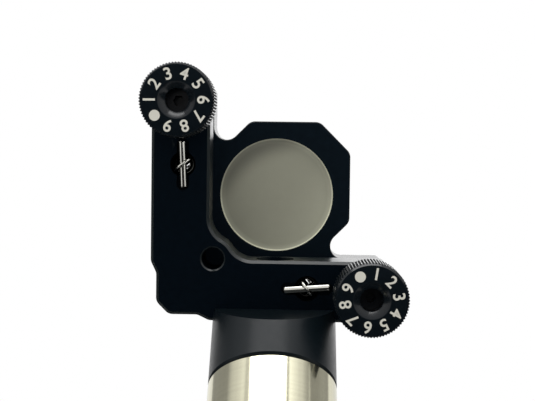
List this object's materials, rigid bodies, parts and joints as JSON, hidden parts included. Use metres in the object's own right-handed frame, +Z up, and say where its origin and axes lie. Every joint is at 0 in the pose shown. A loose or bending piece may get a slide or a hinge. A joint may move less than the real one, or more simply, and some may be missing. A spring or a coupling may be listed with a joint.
{
  "type": "kinematic mirror mount",
  "caption": "Kinematic mirror mount with two knurled fine adjusters, holding a round mirror, on a 45 degree adapter and a steel post.",
  "frame": {"origin": "centre of the post's base", "axes": "+Z up the post; the mirror faces up and towards +Y at 45 degrees, the knobs face down and towards -Y, +X is to the right seen from the knobs"},
  "size_m": [0.0527, 0.0613, 0.1182],
  "materials": {
    "post_steel": "satin",
    "black_anodised": "satin",
    "bright_steel": "gloss",
    "dark_steel": "satin",
    "brass": "satin",
    "mirror_glass": "satin",
    "nylon": "matte"
  },
  "bodies": {
    "stand": {"post": "post_steel", "post_stud": "dark_steel", "angle_adapter": "black_anodised", "mount_screw": "dark_steel", "back_plate": "black_anodised", "upper_bushing": "brass", "lower_bushing": "brass", "pivot_anchor": "bright_steel", "upper_rear_pin": "bright_steel", "lower_rear_pin": "bright_steel", "upper_spring": "bright_steel", "lower_spring": "bright_steel"},
    "upper_tip": {"upper_tip_ball": "bright_steel"},
    "upper_adjuster": {"upper_screw": "dark_steel", "upper_knob": "black_anodised"},
    "lower_tip": {"lower_tip_ball": "bright_steel"},
    "lower_adjuster": {"lower_screw": "dark_steel", "lower_knob": "black_anodised"},
    "pivot": {"pivot_ball": "bright_steel"},
    "optic_plate": {"front_plate": "black_anodised", "pivot_seat": "bright_steel", "vee_seat": "bright_steel", "flat_seat": "bright_steel", "mirror_disc": "mirror_glass", "lock_screw": "dark_steel", "lock_tip": "nylon", "upper_front_pin": "bright_steel", "lower_front_pin": "bright_steel"}
  },
  "joints": [
    {"name": "upper_advance", "type": "slide", "parent": "stand", "child": "upper_tip", "axis": [0, 0.7071, 0.7071], "range_m": [-0.00254, 0.00254]},
    {"name": "upper_turn", "type": "hinge", "parent": "upper_tip", "child": "upper_adjuster", "pos_m": [-0.01905, -0.02973, 0.10093], "axis": [0, 0.7071, 0.7071], "range_deg": [-2890, 2890]},
    {"name": "lower_advance", "type": "slide", "parent": "stand", "child": "lower_tip", "axis": [0, 0.7071, 0.7071], "range_m": [-0.00254, 0.00254]},
    {"name": "lower_turn", "type": "hinge", "parent": "lower_tip", "child": "lower_adjuster", "pos_m": [0.01905, -0.00279, 0.07399], "axis": [0, 0.7071, 0.7071], "range_deg": [-2890, 2890]},
    {"name": "pitch", "type": "hinge", "parent": "stand", "child": "pivot", "pos_m": [-0.01905, 0.00229, 0.07907], "axis": [-1, 0, 0], "range_deg": [-3.83, 3.83], "deforming": ["upper_spring"]},
    {"name": "yaw", "type": "hinge", "parent": "pivot", "child": "optic_plate", "pos_m": [-0.01905, 0.00229, 0.07907], "axis": [0, -0.7071, 0.7071], "range_deg": [-3.83, 3.83], "deforming": ["lower_spring"]}
  ],
  "couplings": [
    {"joint": "upper_turn", "follows": "upper_advance", "rad_per_m": 19790},
    {"joint": "pitch", "follows": "upper_advance", "rad_per_m": 26.247},
    {"joint": "lower_turn", "follows": "lower_advance", "rad_per_m": 19790},
    {"joint": "yaw", "follows": "lower_advance", "rad_per_m": 26.247}
  ]
}
